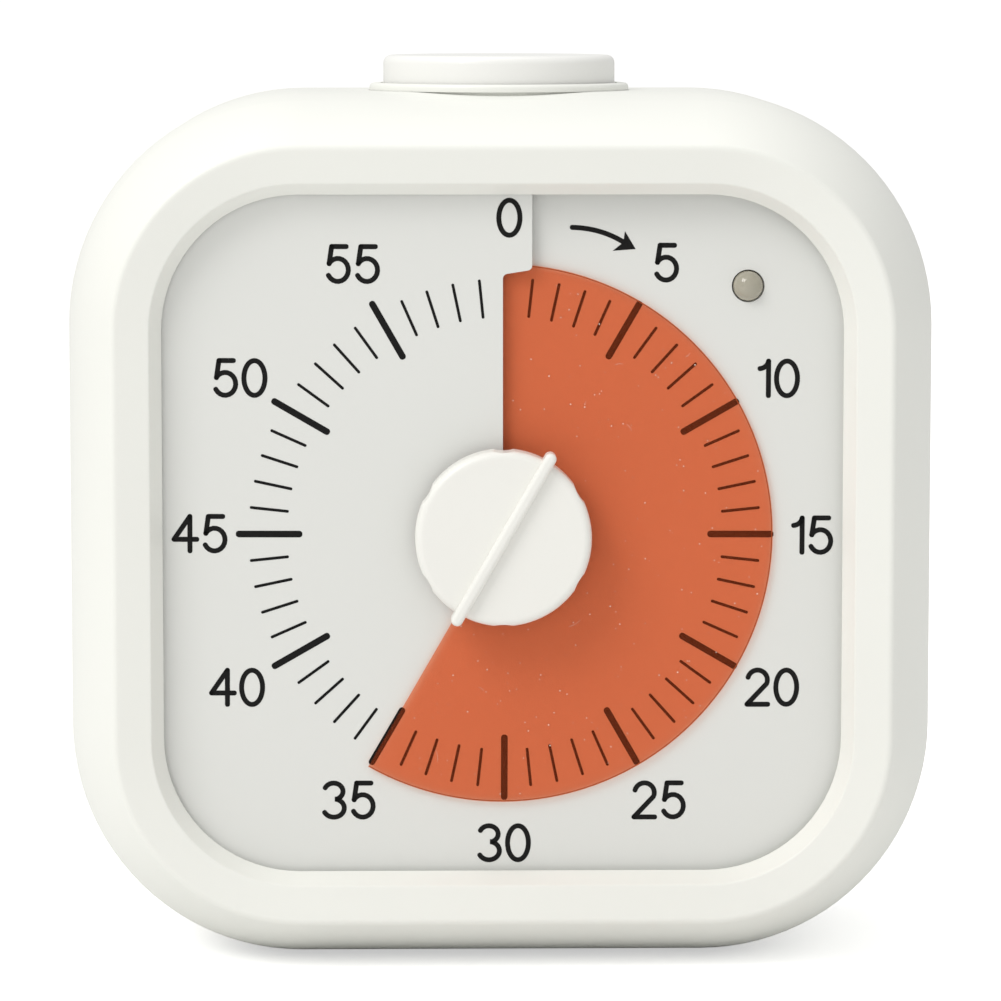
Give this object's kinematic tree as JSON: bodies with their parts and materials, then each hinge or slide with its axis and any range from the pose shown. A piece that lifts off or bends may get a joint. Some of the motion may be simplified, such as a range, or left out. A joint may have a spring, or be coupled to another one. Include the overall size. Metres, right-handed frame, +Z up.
{
  "type": "visual countdown timer",
  "caption": "Rounded-square countdown timer with a turning knob, a coloured disc that shows the time left, a numbered dial and an alarm button on top.",
  "frame": {"origin": "middle of the flat base, 20 mm behind the front crest", "axes": "+Z up, +Y from the dial towards the back, +X to the right seen from the front"},
  "size_m": [0.086, 0.0427, 0.0896],
  "materials": {
    "case_plastic": "fine-grained off-white ABS",
    "knob_plastic": "smooth satin off-white",
    "button_plastic": "smooth satin off-white",
    "dial_card": "grey-white printed sheet",
    "carrier_plastic": "moulded grey-white",
    "orange_film": "translucent orange film",
    "shaft_plastic": "plain acetal",
    "clear_lamp": "water-clear resin",
    "movement_plastic": "black moulded",
    "gear_plastic": "natural acetal",
    "steel": "bright steel",
    "magnet": "dark ferrite",
    "copper": "enamelled copper wire",
    "board": "green board",
    "black_plastic": "black moulded",
    "can": "plain metal can",
    "stem_plastic": "grey moulded",
    "cell_sleeve": "plain sleeve",
    "sounder_brass": "thin brass disc"
  },
  "bodies": {
    "housing": {"front_bezel": "case_plastic", "rear_housing": "case_plastic", "button_collar": "case_plastic", "dial_sheet": "dial_card", "dial_carrier": "carrier_plastic", "lamp_holder": "carrier_plastic", "battery_cradle": "carrier_plastic", "signal_lamp": "clear_lamp", "movement_plate": "movement_plastic", "movement_cover": "movement_plastic", "coil_bobbin": "gear_plastic", "motor_stator": "steel", "coil_core": "steel", "contact_positive": "steel", "contact_negative": "steel", "case_screws": "steel", "movement_screws": "steel", "board_screws": "steel", "buzzer_pins": "steel", "volume_pins": "steel", "motor_coil": "copper", "circuit_board": "board", "control_chip": "black_plastic", "switch_body": "black_plastic", "buzzer_case": "black_plastic", "volume_switch": "black_plastic", "quartz_crystal": "can", "supply_capacitor": "can", "battery_cell": "cell_sleeve", "buzzer_disc": "sounder_brass"},
    "knob": {"setting_knob": "knob_plastic", "knob_shaft": "shaft_plastic", "output_wheel": "gear_plastic"},
    "film": {"time_film": "orange_film", "film_hub": "orange_film"},
    "idler": {"idler_wheel": "gear_plastic", "idler_pinion": "gear_plastic", "idler_arbor": "steel"},
    "rotor": {"rotor_pinion": "gear_plastic", "rotor_arbor": "steel", "rotor_magnet": "magnet"},
    "button": {"button_cap": "button_plastic", "button_post": "button_plastic", "post_clip": "steel", "switch_plunger": "stem_plastic", "button_spring": "steel"},
    "slider": {"volume_slider": "black_plastic"},
    "door": {"battery_door": "case_plastic"}
  },
  "joints": [
    {"name": "knob_turn", "type": "hinge", "parent": "housing", "child": "knob", "pos_m": [0, 0, 0.043], "axis": [0, 1, 0], "range_deg": [-210, 150]},
    {"name": "film_climb", "type": "slide", "parent": "knob", "child": "film", "axis": [0, -1, 0], "range_m": [-0.00072, 0.00052]},
    {"name": "idler_turn", "type": "hinge", "parent": "housing", "child": "idler", "pos_m": [0, 0, 0.058], "axis": [0, 1, 0], "range_deg": [-602, 842]},
    {"name": "rotor_turn", "type": "hinge", "parent": "housing", "child": "rotor", "pos_m": [-0.0125, 0, 0.058], "axis": [0, 1, 0], "range_deg": [-3365, 2405]},
    {"name": "button_press", "type": "slide", "parent": "housing", "child": "button", "axis": [0, 0, -1], "range_m": [0, 0.0012], "stiffness_N_per_m": 300, "springref_m": -0.002, "deforming": ["button_spring"]},
    {"name": "volume_slide", "type": "slide", "parent": "housing", "child": "slider", "axis": [1, 0, 0], "range_m": [0, 0.003]},
    {"name": "door_pull", "type": "slide", "parent": "housing", "child": "door", "axis": [0, 1, 0], "range_m": [0, 0.02]}
  ],
  "couplings": [
    {"joint": "film_climb", "follows": "knob_turn", "m_per_rad": 0.00019099},
    {"joint": "idler_turn", "follows": "knob_turn", "ratio": -4},
    {"joint": "rotor_turn", "follows": "knob_turn", "ratio": 16}
  ]
}
